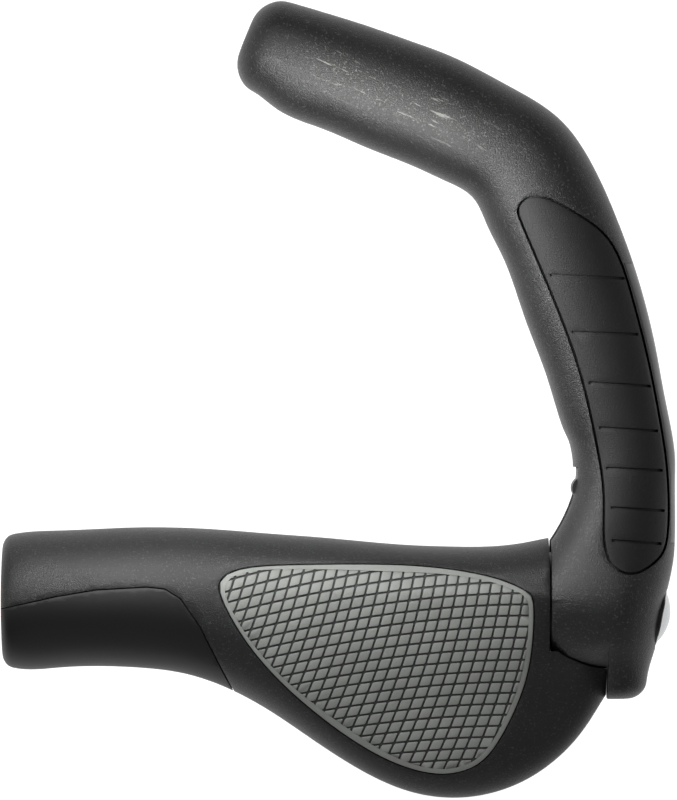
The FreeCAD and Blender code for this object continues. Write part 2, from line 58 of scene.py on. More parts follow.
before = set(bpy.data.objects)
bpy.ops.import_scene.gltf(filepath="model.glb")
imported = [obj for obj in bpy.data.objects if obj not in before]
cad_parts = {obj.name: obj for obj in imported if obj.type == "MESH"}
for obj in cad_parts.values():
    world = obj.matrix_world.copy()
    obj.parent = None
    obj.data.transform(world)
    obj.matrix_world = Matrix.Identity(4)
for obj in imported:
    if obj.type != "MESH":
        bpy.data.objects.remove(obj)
CAD_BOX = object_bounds()

MM = 0.001
UP = Vector((0, 0, 1))
MERGE = 0.002 * MM  # vertices nearer than this are one


# ---------------------------------------------------------------- sizes and colours

def length(name, description, default):
    """A length that the sidebar shows in the scene's unit."""
    return FloatProperty(name=name, description=description, default=default, min=0.0,
                         unit="LENGTH", precision=5)


def tint(name, description, default):
    """A linear colour."""
    return FloatVectorProperty(name=name, description=description, default=default,
                               subtype="COLOR", size=3, min=0.0, max=1.0)


class PalmPadSizes(bpy.types.PropertyGroup):
    """Sizes of the tiled pad under the palm."""

    column_pitch: length("Column pitch", "From one column of tiles to the next", 2.76 * MM)
    row_pitch: length("Row pitch", "From one row of tiles to the next", 2.78 * MM)
    groove: length("Groove", "Width of the grooves between tiles", 0.5 * MM)
    depth: length("Depth", "Depth of the grooves", 0.42 * MM)
    border: length("Border", "Width of the smooth band round the tiles", 1.2 * MM)
    corner: length("Corner", "Rounding of a tile's upright corners", 0.3 * MM)
    lip: length("Lip", "Rounding of a tile's top edges", 0.28 * MM)


class FittingSizes(bpy.types.PropertyGroup):
    """Sizes of the small roundings on the other pieces."""

    pad_lip: length("Pad lip", "Rounding of the horn pads' edges", 0.38 * MM)
    mould_lip: length("Mould lip", "Rounding of moulded edges", 0.25 * MM)
    machined_lip: length("Machined lip", "Rounding of machined edges", 0.3 * MM)
    knurl_depth: length("Knurl depth", "Depth of the knurl on the screw's head", 0.18 * MM)


class GripColours(bpy.types.PropertyGroup):
    """Colours of the finishes."""

    skin: tint("Skin", "Rubber of the grip", (0.0048, 0.0049, 0.0052))
    panel: tint("Panel", "Smooth rubber at the inner rear", (0.0022, 0.0022, 0.0024))
    tile: tint("Tile", "Grey rubber of the palm pad", (0.205, 0.213, 0.2))
    # darker grey down in the grooves: painted shade
    groove: tint("Groove", "Grey rubber down in the grooves", (0.05, 0.052, 0.05))
    horn: tint("Horn", "Charcoal plastic of the bar end", (0.0042, 0.0043, 0.0044))
    # pale grey for flecks and scuffs; on the curled arm's crest it also paints a highlight
    pale_wear_and_sheen: tint("Rub", "Plastic where hands have rubbed it pale", (0.27, 0.275, 0.25))
    horn_pad: tint("Horn pad", "Rubber of the horn's pads", (0.0026, 0.0026, 0.0027))
    silver: tint("Silver", "Satin silver of the end cap", (0.5, 0.51, 0.52))
    alloy: tint("Alloy", "Black anodised alloy of the clamp", (0.05, 0.05, 0.052))
    zinc: tint("Zinc", "Plated steel of the screw, washer and nut", (0.42, 0.42, 0.41))


# ---------------------------------------------------------------- finishes

class Socket:
    """An output of a shader node that Python's operators work on."""

    def __init__(self, finish, link):
        self.finish = finish
        self.link = link

    def maths(self, operation, *values):
        """A Math node on values and sockets."""
        return self.finish.node("Math", {"operation": operation}, dict(enumerate(values)))

    def __add__(self, other):
        return self.maths("ADD", self, other)

    def __radd__(self, other):
        return self.maths("ADD", other, self)

    def __sub__(self, other):
        return self.maths("SUBTRACT", self, other)

    def __rsub__(self, other):
        return self.maths("SUBTRACT", other, self)

    def __mul__(self, other):
        return self.maths("MULTIPLY", self, other)

    def __rmul__(self, other):
        return self.maths("MULTIPLY", other, self)

    def __pow__(self, other):
        return self.maths("POWER", self, other)

    def __abs__(self):
        return self.maths("ABSOLUTE", self)


class Finish:
    """One procedural material on object coordinates."""

    def __init__(self, name, metallic=0.0, specular=0.5):
        self.material = bpy.data.materials.new(name)
        self.material.use_nodes = True
        self.tree = self.material.node_tree
        self.surface = self.tree.nodes["Principled BSDF"]
        self.surface.inputs["Metallic"].default_value = metallic
        self.surface.inputs["Specular IOR Level"].default_value = specular
        self.place = self.node("TexCoord", output="Object")

    def put(self, socket, value):
        """Link or set one socket."""
        if isinstance(value, Socket):
            self.tree.links.new(value.link, socket)
            return
        if socket.type == "RGBA" and len(value) == 3:
            value = (*value, 1.0)
        socket.default_value = value

    def node(self, kind, settings=None, sockets=None, output=0):
        """One node of a kind, its settings made first, and one of its outputs."""
        made = self.tree.nodes.new("ShaderNode" + kind)
        for key, value in (settings or {}).items():
            setattr(made, key, value)
        for key, value in (sockets or {}).items():
            self.put(made.inputs[key], value)
        return Socket(self, made.outputs[output])

    def feed(self, name, value):
        """Link or set one of the shader's own inputs."""
        self.put(self.surface.inputs[name], value)

    def turned(self, centre=(0, 0, 0), turn=(0, 0, 0), scale=(1, 1, 1)):
        """Object coordinates about a centre, on turned and scaled axes."""
        settings = {"vector_type": "TEXTURE"}
        sockets = {"Vector": self.place, "Location": centre, "Rotation": turn, "Scale": scale}
        return self.node("Mapping", settings, sockets)

    def noise(self, scale, detail=2.0, roughness=0.5, place=None):
        """Soft noise, 0 to 1, with this many waves to the metre."""
        sockets = {"Vector": place or self.place, "Scale": scale, "Detail": detail,
                   "Roughness": roughness}
        return self.node("TexNoise", None, sockets, "Fac")

    def cells(self, scale):
        """Distance to the nearest of many scattered points, for beads and pips."""
        return self.node("TexVoronoi", None, {"Vector": self.place, "Scale": scale}, "Distance")

    def ease(self, value, low, high):
        """0 below low, 1 above high and smooth between them."""
        settings = {"interpolation_type": "SMOOTHSTEP"}
        return self.node("MapRange", settings, {0: value, 1: low, 2: high})

    def mix(self, factor, one, two):
        """A colour between two."""
        return self.node("Mix", {"data_type": "RGBA"}, {0: factor, 6: one, 7: two}, 2)

    def bump(self, height, depth, strength=1.0):
        """Relief of a depth on the whole surface."""
        sockets = {"Height": height, "Distance": depth, "Strength": strength}
        self.feed("Normal", self.node("Bump", None, sockets))

    def axes(self, place):
        """The three coordinates of a place."""
        first = self.node("SeparateXYZ", None, {0: place}, 0)
        outputs = first.link.node.outputs
        return [Socket(self, outputs[number]) for number in range(3)]


def shade(colour, factor):
    """A colour made lighter or darker by a factor."""
    return tuple(min(1.0, part * factor) for part in colour)


def grain(finish, pitch):
    """Fine moulded grain: rounded pips and a finer noise in equal parts, 0 to 1."""
    pips = 1 - finish.cells(1 / pitch)
    return pips * 0.5 + finish.noise(1.6 / pitch, 2.0, 0.6) * 0.5


RIDGE = (97 * MM, 125 * MM, 0)  # middle of the curled arm's crest, with its scuffs and its painted highlight
RIDGE_TURN = (0, 0, math.radians(-24))
SCUFF_TURN = (0, 0, math.radians(-27))


def horn_plastic(colours):
    """Charcoal moulded plastic, grained, with pale scuffs along the curled arm's crest and a
    pale band painted on the crest's top as a highlight.
    """
    finish = Finish("horn_plastic")
    fine = grain(finish, 0.3 * MM)
    patches = finish.noise(55, 3.0, 0.55)
    base = finish.mix(finish.ease(patches, 0.35, 0.7), shade(colours.horn, 0.85),
                      shade(colours.horn, 1.25))
    along, across, height = finish.axes(finish.turned(RIDGE, RIDGE_TURN))
    top = finish.ease(height, 9.5 * MM, 12.5 * MM)
    crest_wear_and_sheen = (1 - finish.ease(abs(along), 14 * MM, 36 * MM)) * (
        1 - finish.ease(abs(across), 1.5 * MM, 7.5 * MM)) * top
    specks = finish.ease(finish.noise(1900, 2.0, 0.7), 0.56, 0.68)
    lines = finish.turned(RIDGE, SCUFF_TURN, (6, 1, 1))
    scratches = finish.ease(finish.noise(800, 3.0, 0.6, lines), 0.6, 0.7)
    # pale along the top of the arm's crest: the specks and streaks are scuffs, the even 0.04 is
    # a painted highlight
    rubbed = crest_wear_and_sheen * (0.04 + specks * 0.22 + scratches * 0.6)
    flecks = finish.ease(finish.noise(1900, 1.0, 0.5), 0.6, 0.72) * 0.12
    finish.feed("Base Color", finish.mix(rubbed + flecks, base, tuple(colours.pale_wear_and_sheen)))
    finish.feed("Roughness", 0.3 + patches * 0.12 + fine * 0.16 + rubbed * 0.1)
    finish.bump(fine - scratches * crest_wear_and_sheen * 0.4, 0.13 * MM)
    return finish.material


def skin_rubber(colours):
    """Charcoal rubber with a fine speckled grain."""
    finish = Finish("grip_rubber", specular=0.45)
    fine = grain(finish, 0.28 * MM)
    patches = finish.noise(40, 3.0, 0.5)
    base = finish.mix(finish.ease(patches, 0.3, 0.7), shade(colours.skin, 0.85),
                      shade(colours.skin, 1.2))
    flecks = finish.ease(finish.noise(2000, 1.0, 0.5), 0.6, 0.72) * 0.09
    finish.feed("Base Color", finish.mix(flecks, base, tuple(colours.pale_wear_and_sheen)))
    finish.feed("Roughness", 0.33 + patches * 0.12 + fine * 0.16)
    finish.bump(fine, 0.11 * MM)
    return finish.material


def panel_rubber(colours):
    """Smooth matte rubber with faint flow marks."""
    finish = Finish("panel_rubber", specular=0.35)
    flow = finish.noise(70, 4.0, 0.6, finish.turned(scale=(3, 1, 1)))
    finish.feed("Base Color", finish.mix(flow, shade(colours.panel, 0.8),
                                         shade(colours.panel, 1.3)))
    finish.feed("Roughness", 0.44 + flow * 0.14)
    finish.bump(finish.noise(2500, 2.0, 0.5), 0.015 * MM, 0.6)
    return finish.material


def tile_rubber(colours):
    """Grey rubber, slightly mottled and finely grained."""
    finish = Finish("pad_rubber", specular=0.35)
    patches = finish.noise(90, 3.0, 0.55)
    dust = finish.noise(1500, 3.0, 0.65)
    base = finish.mix(finish.ease(patches, 0.3, 0.7), shade(colours.tile, 0.93),
                      shade(colours.tile, 1.06))
    finish.feed("Base Color", finish.mix(finish.ease(dust, 0.5, 0.8) * 0.35, base,
                                         shade(colours.tile, 1.35)))
    finish.feed("Roughness", 0.52 + patches * 0.16)
    finish.bump(grain(finish, 0.24 * MM), 0.02 * MM, 0.6)
    return finish.material


def shaded_groove_rubber(colours):
    """The same rubber down in the grooves, made darker as painted shade, with a random mottle.
    """
    finish = Finish("pad_groove_painted_shade", specular=0.2)
    dust = finish.noise(900, 3.0, 0.6)
    finish.feed("Base Color", finish.mix(dust, shade(colours.groove, 0.6),
                                         shade(colours.groove, 1.3)))
    finish.feed("Roughness", 0.7 + dust * 0.15)
    finish.bump(dust, 0.02 * MM)
    return finish.material


def pad_rubber(colours):
    """Matte black rubber of the horn's pads, faintly specked."""
    finish = Finish("horn_rubber", specular=0.4)
    patches = finish.noise(60, 3.0, 0.5)
    specks = finish.ease(finish.noise(2200, 1.0, 0.5), 0.66, 0.76) * 0.03
    base = finish.mix(patches, shade(colours.horn_pad, 0.8), shade(colours.horn_pad, 1.2))
    finish.feed("Base Color", finish.mix(specks, base, tuple(colours.pale_wear_and_sheen)))
    finish.feed("Roughness", 0.5 + patches * 0.14)
    finish.bump(grain(finish, 0.3 * MM), 0.06 * MM)
    return finish.material


def cover_plastic(colours):
    """Satin moulded plastic of the side cover and the plug."""
    finish = Finish("cover_plastic")
    patches = finish.noise(80, 3.0, 0.5)
    finish.feed("Base Color", finish.mix(patches, shade(colours.horn, 0.7),
                                         shade(colours.horn, 1.15)))
    finish.feed("Roughness", 0.3 + patches * 0.14)
    finish.bump(finish.noise(3600, 2.0, 0.6), 0.02 * MM, 0.6)
    return finish.material


def core_plastic(colours):
    """Glass-filled plastic of the hard core, with flow streaks along the bar."""
    finish = Finish("core_plastic")
    streaks = finish.noise(600, 4.0, 0.65, finish.turned(scale=(12, 1, 1)))
    finish.feed("Base Color", finish.mix(finish.ease(streaks, 0.4, 0.7),
                                         shade(colours.horn, 0.8), shade(colours.horn, 2.4)))
    finish.feed("Roughness", 0.36 + streaks * 0.2)
    finish.bump(streaks, 0.02 * MM)
    return finish.material


def silver(colours, centre, axis):
    """Satin silver, turned on a lathe, so its fine rings run round the cap's axis."""
    finish = Finish("silver_finish", metallic=1.0)
    turn = axis.to_track_quat("Z", "X").to_euler()
    x, y, _ = finish.axes(finish.turned(tuple(centre), tuple(turn)))
    radius = (x * x + y * y) ** 0.5
    rings = finish.node("TexNoise", {"noise_dimensions": "1D"},
                        {"W": radius, "Scale": 9000, "Detail": 2.0}, "Fac")
    wear = finish.noise(300, 4.0, 0.6)
    finish.feed("Base Color", finish.mix(rings, shade(colours.silver, 0.88),
                                         tuple(colours.silver)))
    finish.feed("Roughness", 0.22 + rings * 0.1 + finish.ease(wear, 0.5, 0.8) * 0.15)
    finish.bump(rings, 0.01 * MM, 0.5)
    return finish.material


def blasted_alloy(colours):
    """Bead-blasted, anodised aluminium."""
    finish = Finish("clamp_alloy", metallic=1.0)
    beads = finish.cells(2600)
    stain = finish.noise(120, 4.0, 0.6)
    finish.feed("Base Color", finish.mix(stain, shade(colours.alloy, 0.85),
                                         shade(colours.alloy, 1.1)))
    finish.feed("Roughness", 0.36 + stain * 0.16)
    finish.bump(beads, 0.02 * MM, 0.7)
    return finish.material


def zinc_plate(colours):
    """Zinc-plated steel with a slightly warm, uneven passivation."""
    finish = Finish("bolt_steel", metallic=1.0)
    stain = finish.noise(260, 3.0, 0.6)
    finish.feed("Base Color", finish.mix(stain, shade(colours.zinc, 0.75),
                                         (0.5, 0.48, 0.42)))
    finish.feed("Roughness", 0.26 + stain * 0.2)
    finish.bump(finish.noise(3000, 2.0, 0.5), 0.008 * MM)
    return finish.material


def pale_floor():
    """Matte pale paper on a light table."""
    finish = Finish("floor_paper", specular=0.1)
    fibres = finish.noise(400, 3.0, 0.6)
    finish.feed("Base Color", finish.mix(fibres, (0.3, 0.3, 0.3), (0.32, 0.32, 0.32)))
    finish.feed("Roughness", 0.9)
    finish.feed("Emission Color", (1, 1, 1))
    finish.feed("Emission Strength", 0.95)
    return finish.material


# ---------------------------------------------------------------- shared shaping

def node_form(node):
    """A CAD node's form in an editable mesh of its own, its doubled vertices merged."""
    form = bmesh.new()
    form.from_mesh(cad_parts[node].data)
    bmesh.ops.remove_doubles(form, verts=form.verts, dist=MERGE)
    return form


def take_in(form, part):
    """Add another form to a form."""
    mesh = bpy.data.meshes.new("part")
    part.to_mesh(mesh)
    part.free()
    form.from_mesh(mesh)
    bpy.data.meshes.remove(mesh)


def revolve(profile, steps):
    """Turn a profile of radii and heights about Z into a closed form."""
    form = bmesh.new()
    verts = [form.verts.new((radius, 0, height)) for radius, height in profile]
    edges = [form.edges.new(pair) for pair in zip(verts, verts[1:])]
    bmesh.ops.spin(form, geom=verts + edges, cent=(0, 0, 0), axis=UP, angle=2 * math.pi,
                   steps=steps, use_merge=True, use_duplicate=False)
    bmesh.ops.remove_doubles(form, verts=form.verts, dist=MERGE)
    return form


def dress(node, material):
    """Give a CAD node its finish."""
    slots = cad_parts[node].data.materials
    slots.clear()
    slots.append(material)


def soften(node, width):
    """Round a CAD node's sharp edges when it is drawn; its own mesh stays as it is."""
    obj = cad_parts[node]
    weld = obj.modifiers.new("merge", "WELD")
    weld.merge_threshold = MERGE
    bevel = obj.modifiers.new("lip", "BEVEL")
    bevel.width = width
    bevel.segments = 2
    bevel.limit_method = "ANGLE"
    bevel.angle_limit = math.radians(40)
    bevel.harden_normals = True


def finished(form, name, materials, body, node, sharp=50.0):
    """Keep a form as a finished piece that rides on a body and stands for a CAD node."""
    bmesh.ops.recalc_face_normals(form, faces=form.faces)
    mesh = bpy.data.meshes.new(name)
    form.to_mesh(mesh)
    form.free()
    for material in materials:
        mesh.materials.append(material)
    mesh.shade_smooth()
    mesh.set_sharp_from_angle(angle=math.radians(sharp))
    piece = bpy.data.objects.new(name, mesh)
    bpy.context.scene.collection.objects.link(piece)
    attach(piece, body)
    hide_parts(node)


def round_edges(form, edges, offset, segments):
    """Bevel edges to a round."""
    bmesh.ops.bevel(form, geom=edges, offset=offset, offset_type="OFFSET", segments=segments,
                    profile=0.5, affect="EDGES", material=-1, clamp_overlap=True)


def sharp_edges(form, degrees):
    """Edges whose two faces meet at more than an angle."""
    limit = math.radians(degrees)
    return [e for e in form.edges if len(e.link_faces) == 2 and e.calc_face_angle() > limit]


# ---------------------------------------------------------------- palm pad

PAD_CENTRE = Vector((0.097, -0.014))
PAD_CORNER = Vector((0.056, 0.008))  # where the tiles' rows and columns are counted from
FIELD_COLUMNS, COLUMNS_BEFORE_CORNER = 40, 4
FIELD_ROWS, ROWS_BEFORE_CORNER = 34, 24
COLUMN_LEAN, COLUMN_LEAN_LOSS = 0.30, 2.6  # at the corner, and its loss for each metre across
COLUMN_BOW = 3.5
ROW_RISE, ROW_RISE_LOSS = 0.29, 1.95  # the same for the rows

RIM_STEPS = 120
BAND_DEPTH = 1.2 * MM
BAND_OVERLAP = 0.02 * MM  # of the band and the tiles that it cuts off
BAND_INWARD = 0.3 * MM  # keeps the band's height from falling over the pad's edge
FRONT_WIDENING, REAR_WIDENING = 0.25, 0.35  # of the band, as shares of its width
REAR_SLANT = 0.5  # turns the rear's widening toward the inner side


def lay_on(form, surface, inward=0.0):
    """Lay a flat form on the pad, each height taken a little nearer the pad's centre."""
    for vert in form.verts:
        flat = vert.co.xy
        flat += (PAD_CENTRE - flat).normalized() * inward
        hit = surface.ray_cast(Vector((flat.x, flat.y, 1.0)), -UP)[0]
        if hit is None:
            hit = surface.find_nearest(Vector((flat.x, flat.y, 0.01)))[0]
        vert.co.z += hit.z


def pad_rim():
    """The pad's outline in plan, anticlockwise."""
    points = [vert.co.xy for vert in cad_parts["palm_pad"].data.vertices]
    return [points[number] for number in convex_hull_2d(points)]


def reach(rim, angle):
    """Distance from the pad's centre to its rim in one direction."""
    way = Vector((math.cos(angle), math.sin(angle)))
    for one, two in zip(rim, rim[1:] + rim[:1]):
        edge = two - one
        cross = way.cross(edge)
        if abs(cross) < 1e-12:
            continue
        start = one - PAD_CENTRE
        distance = start.cross(edge) / cross
        share = start.cross(way) / cross
        if distance > 0 and -1e-6 <= share <= 1 + 1e-6:
            return distance
    raise RuntimeError("the pad's rim is open")


def tile_field(sizes):
    """Flat tiles in rows and columns that fan out from the pad's front inner corner."""
    form = bmesh.new()
    bmesh.ops.create_grid(form, x_segments=FIELD_COLUMNS, y_segments=FIELD_ROWS, size=0.5)
    for vert in form.verts:
        column = (vert.co.x + 0.5) * FIELD_COLUMNS - COLUMNS_BEFORE_CORNER
        row = (vert.co.y + 0.5) * FIELD_ROWS - ROWS_BEFORE_CORNER
        across = column * sizes.column_pitch
        down = row * sizes.row_pitch
        lean = COLUMN_LEAN - COLUMN_LEAN_LOSS * across
        sideways = across + lean * down
        rise = ROW_RISE * sideways - ROW_RISE_LOSS * sideways * sideways
        along = down + rise
        vert.co.x = PAD_CORNER.x + across + lean * along - COLUMN_BOW * along * along
        vert.co.y = PAD_CORNER.y + along
    return form


def raise_tiles(form, sizes):
    """Turn the cells of the field into tiles with grooves between them."""
    rings = bmesh.ops.inset_individual(form, faces=form.faces, thickness=sizes.groove / 2,
                                       use_even_offset=True)["faces"]
    bmesh.ops.delete(form, geom=rings, context="FACES")
    thickness = UP * sizes.depth * 1.5
    tops = bmesh.ops.extrude_discrete_faces(form, faces=form.faces[:])["faces"]
    verts = {vert for face in tops for vert in face.verts}
    bmesh.ops.translate(form, verts=list(verts), vec=thickness)
    loose = [edge for edge in form.edges if not edge.link_faces]
    bmesh.ops.delete(form, geom=loose, context="EDGES")
    bmesh.ops.translate(form, verts=form.verts, vec=-thickness)
    bmesh.ops.holes_fill(form, edges=form.edges, sides=4)
    corners = [edge for edge in form.edges
               if abs(edge.verts[0].co.z - edge.verts[1].co.z) > sizes.depth]
    round_edges(form, corners, sizes.corner, 2)
    lips = [edge for edge in form.edges
            if min(v.co.z for v in edge.verts) > -0.01 * MM
            and edge.calc_face_angle() > 1.0]
    round_edges(form, lips, sizes.lip, 2)


def trim_tiles(form, rim, sizes):
    """Cut the tiles off at the border band, and close what was cut."""
    inner = [PAD_CENTRE + way * (reach(rim, angle) - border_at(sizes, angle))
             for angle, way in rim_ways()]
    for one, two in zip(inner, inner[1:] + inner[:1]):
        edge = two - one
        geometry = form.verts[:] + form.edges[:] + form.faces[:]
        made = bmesh.ops.bisect_plane(form, geom=geometry, plane_co=one.to_3d(),
                                      plane_no=(edge.y, -edge.x, 0), clear_outer=True)
        cuts = [e for e in made["geom_cut"] if isinstance(e, bmesh.types.BMEdge)
                and len(e.link_faces) < 2]
        if cuts:
            bmesh.ops.edgeloop_fill(form, edges=cuts)


def rim_ways():
    """Directions all round the pad's centre."""
    for step in range(RIM_STEPS):
        angle = 2 * math.pi * step / RIM_STEPS
        yield angle, Vector((math.cos(angle), math.sin(angle)))


def border_at(sizes, angle):
    """Width of the smooth band; it widens toward the front and the inner rear."""
    front = max(0.0, math.sin(angle)) ** 3
    rear = max(0.0, -math.sin(angle + REAR_SLANT)) ** 4
    return sizes.border * (1 + FRONT_WIDENING * front + REAR_WIDENING * rear)


def border_band(rim, sizes):
    """The smooth band: a closed ring, flush with the tiles."""
    form = bmesh.new()
    bmesh.ops.create_circle(form, cap_ends=False, segments=RIM_STEPS, radius=1.0)
    outer = form.verts[:]
    profile = (
        (0.0, -BAND_DEPTH), (0.0, -0.22 * MM), (0.07 * MM, -0.07 * MM), (0.22 * MM, 0.0),
        (None, 0.0), (None, -BAND_DEPTH),
    )  # inset from the rim, None at the tiles, and height
    loops = [outer]
    edges = form.edges[:]
    for _ in profile[1:]:
        made = bmesh.ops.extrude_edge_only(form, edges=edges)["geom"]
        loops.append([part for part in made if isinstance(part, bmesh.types.BMVert)])
        edges = [part for part in made if isinstance(part, bmesh.types.BMEdge)]
    bmesh.ops.bridge_loops(form, edges=edges + [e for e in form.edges if len(e.link_faces) == 1
                                                and e.verts[0] in outer])
    for loop, (inset, height) in zip(loops, profile):
        for vert in loop:
            angle = math.atan2(vert.co.y, vert.co.x)
            depth = border_at(sizes, angle) + BAND_OVERLAP if inset is None else inset
            way = Vector((math.cos(angle), math.sin(angle)))
            flat = PAD_CENTRE + way * (reach(rim, angle) - depth)
            vert.co = Vector((flat.x, flat.y, height))
    return form


def make_palm_pad(sizes, colours):
    """The tiles, the band round them and the grooves' floor, joined in one piece."""
    base = node_form("palm_pad")
    surface = BVHTree.FromBMesh(base)
    rim = pad_rim()
    tiles = tile_field(sizes)
    raise_tiles(tiles, sizes)
    trim_tiles(tiles, rim, sizes)
    lay_on(tiles, surface)
    band = border_band(rim, sizes)
    lay_on(band, surface, BAND_INWARD)

    tops = {vert for face in base.faces if face.normal.z > 0.3 for vert in face.verts}
    bmesh.ops.translate(base, verts=list(tops), vec=-UP * sizes.depth)
    # the grooves' floor takes the darker groove rubber, painted shade down in the grooves
    for face in base.faces:
        face.material_index = 1
    for part in (tiles, band):
        take_in(base, part)
    finished(base, "palm_pad_tiles", [tile_rubber(colours), shaded_groove_rubber(colours)],
             "grip", "palm_pad", sharp=60.0)


# ---------------------------------------------------------------- horn pads, cap and screw

def make_horn_pad(node, material, lip):
    """A rubber pad with rounded edges at its border and along its cross grooves."""
    form = node_form(node)
    bmesh.ops.dissolve_limit(form, angle_limit=math.radians(0.5), verts=form.verts,
                             edges=form.edges)
    round_edges(form, sharp_edges(form, 45), lip, 3)
    finished(form, node + "_soft", [material], "bar_end", node)


CAP_TURN = math.radians(-11.4)  # the cap faces outward and this much to the rear
CAP_PROFILE = (
    (0.0, 0.0), (6.95, 0.0), (6.95, 0.5), (6.85, 0.66), (6.6, 0.74), (6.45, 0.68), (6.3, 0.7),
    (5.9, 0.94), (5.1, 1.34), (4.1, 1.7), (2.9, 2.03), (1.5, 2.27), (0.0, 2.36),
)  # radius and height in millimetres


def make_cap(colours):
    """Domed cap with a rolled rim and a shallow ring round its blank face."""
    axis = Vector((math.cos(CAP_TURN), math.sin(CAP_TURN), 0))
    points = [vert.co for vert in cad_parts["cap_badge"].data.vertices]
    depths = [point.dot(axis) for point in points]
    base, crown = min(depths), max(depths)
    seat = sum(points, Vector()) / len(points)
    seat.z = 0
    seat += axis * (base - seat.dot(axis))
    stretch = (crown - base) / (CAP_PROFILE[-1][1] * MM)
    form = revolve([(radius * MM, height * MM * stretch) for radius, height in CAP_PROFILE], 96)
    place = Matrix.Translation(seat) @ axis.to_track_quat("Z", "X").to_matrix().to_4x4()
    bmesh.ops.transform(form, matrix=place, verts=form.verts)
    finished(form, "silver_cap", [silver(colours, seat, axis)], "bar_end",
             "cap_badge", sharp=40.0)


def push_in(form, faces, height):
    """Extrude faces along Z, and give the one that ends the extrusion."""
    made = bmesh.ops.extrude_face_region(form, geom=faces)["geom"]
    verts = [part for part in made if isinstance(part, bmesh.types.BMVert)]
    bmesh.ops.translate(form, verts=verts, vec=UP * height)
    return next(part for part in made if isinstance(part, bmesh.types.BMFace))


KNURLS = 36
HEAD_CHAMFER = 0.6 * MM
SOCKET_HALF_WIDTH = 2.0 * MM
SOCKET_DEPTH = 2.6 * MM
THREAD_ROOT, THREAD_CREST, THREAD_PITCH = 2.05 * MM, 2.49 * MM, 0.8 * MM


def make_bolt(sizes, material):
    """Socket screw: a knurled, chamfered head with a hexagon socket, and a threaded shank."""
    low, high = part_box("clamp_bolt")
    centre = Vector(((low.x + high.x) / 2, (low.y + high.y) / 2, 0))
    radius = (high.x - low.x) / 2
    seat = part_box("bolt_washer")[0].z
    form = bmesh.new()
    bmesh.ops.create_circle(form, cap_ends=True, segments=2 * KNURLS, radius=radius)
    for number, vert in enumerate(sorted(form.verts, key=lambda v: math.atan2(v.co.y, v.co.x))):
        if number % 2:
            vert.co *= 1 - sizes.knurl_depth / radius
    end = push_in(form, form.faces[:], low.z + HEAD_CHAMFER - seat)
    bmesh.ops.inset_region(form, faces=[end], thickness=0.5 * MM, depth=0.0)
    bmesh.ops.translate(form, verts=end.verts, vec=-UP * HEAD_CHAMFER)
    bmesh.ops.inset_region(form, faces=[end], thickness=0.35 * MM, depth=0.0)
    bmesh.ops.inset_region(form, faces=[end], thickness=0.25 * MM, depth=0.0)
    for vert in end.verts:
        angle = math.atan2(vert.co.y, vert.co.x)
        side = SOCKET_HALF_WIDTH / math.cos(angle % (math.pi / 3) - math.pi / 6)
        vert.co.x, vert.co.y = side * math.cos(angle), side * math.sin(angle)
    push_in(form, [end], SOCKET_DEPTH)
    bmesh.ops.delete(form, geom=[end], context="FACES_ONLY")
    bmesh.ops.translate(form, verts=form.verts, vec=UP * seat)
    take_in(form, threaded_shank(seat, high.z))
    bmesh.ops.translate(form, verts=form.verts, vec=centre)
    finished(form, "clamp_screw", [material], "bolt", "clamp_bolt", sharp=30.0)


def threaded_shank(bottom, top):
    """A shank with thread ridges between its root and its crest, and a tapered tip."""
    points = [(0.0, bottom), (THREAD_ROOT, bottom)]
    for turn in range(int((top - bottom - 1.0 * MM) / THREAD_PITCH)):
        start = bottom + 0.4 * MM + turn * THREAD_PITCH
        points += [(THREAD_ROOT, start), (THREAD_CREST, start + 0.35 * THREAD_PITCH),
                   (THREAD_CREST, start + 0.5 * THREAD_PITCH)]
    points += [(THREAD_ROOT, top - 0.5 * MM), (THREAD_ROOT - 0.4 * MM, top), (0.0, top)]
    return revolve(points, 48)


# ---------------------------------------------------------------- stage

FRAME_CENTRE = (0.083875, 0.05)
FRAME_HEIGHT = 0.2
TILT_DOWN = math.radians(30)
MIDDLE = (0.085, 0.055, 0.0)
LIGHTS = (
    # name, place, aim, width in metres, watts
    ("arm key", (0.072, 0.088, 0.1), (0.09, 0.115, 0.0), 0.045, 0.2),
    ("grip key", (0.025, 0.07, 0.08), (0.035, 0.0, 0.0), 0.05, 0.085),
    ("top", (-0.15, 0.35, 0.8), MIDDLE, 0.3, 3.0),
    ("left", (-0.9, 0.2, 0.6), MIDDLE, 0.8, 3.0),
    ("right", (1.1, 0.0, 0.6), MIDDLE, 0.8, 1.0),
    ("rear", (0.1, -1.0, 0.6), MIDDLE, 0.8, 1.0),
)


def area_light(name, place, aim, size, power):
    """A square soft light that faces its aim and stays out of the camera's sight."""
    data = bpy.data.lights.new(name, "AREA")
    data.size = size
    data.energy = power
    light = bpy.data.objects.new(name, data)
    light.location = place
    light.rotation_euler = (Vector(aim) - Vector(place)).to_track_quat("-Z", "Y").to_euler()
    light.visible_camera = False
    bpy.context.scene.collection.objects.link(light)


def lowest_swing():
    """How far the curled arm comes down below its rest when it is tilted to its stop."""
    return CAD_BOX[1].y * math.sin(TILT_DOWN) + 3 * MM


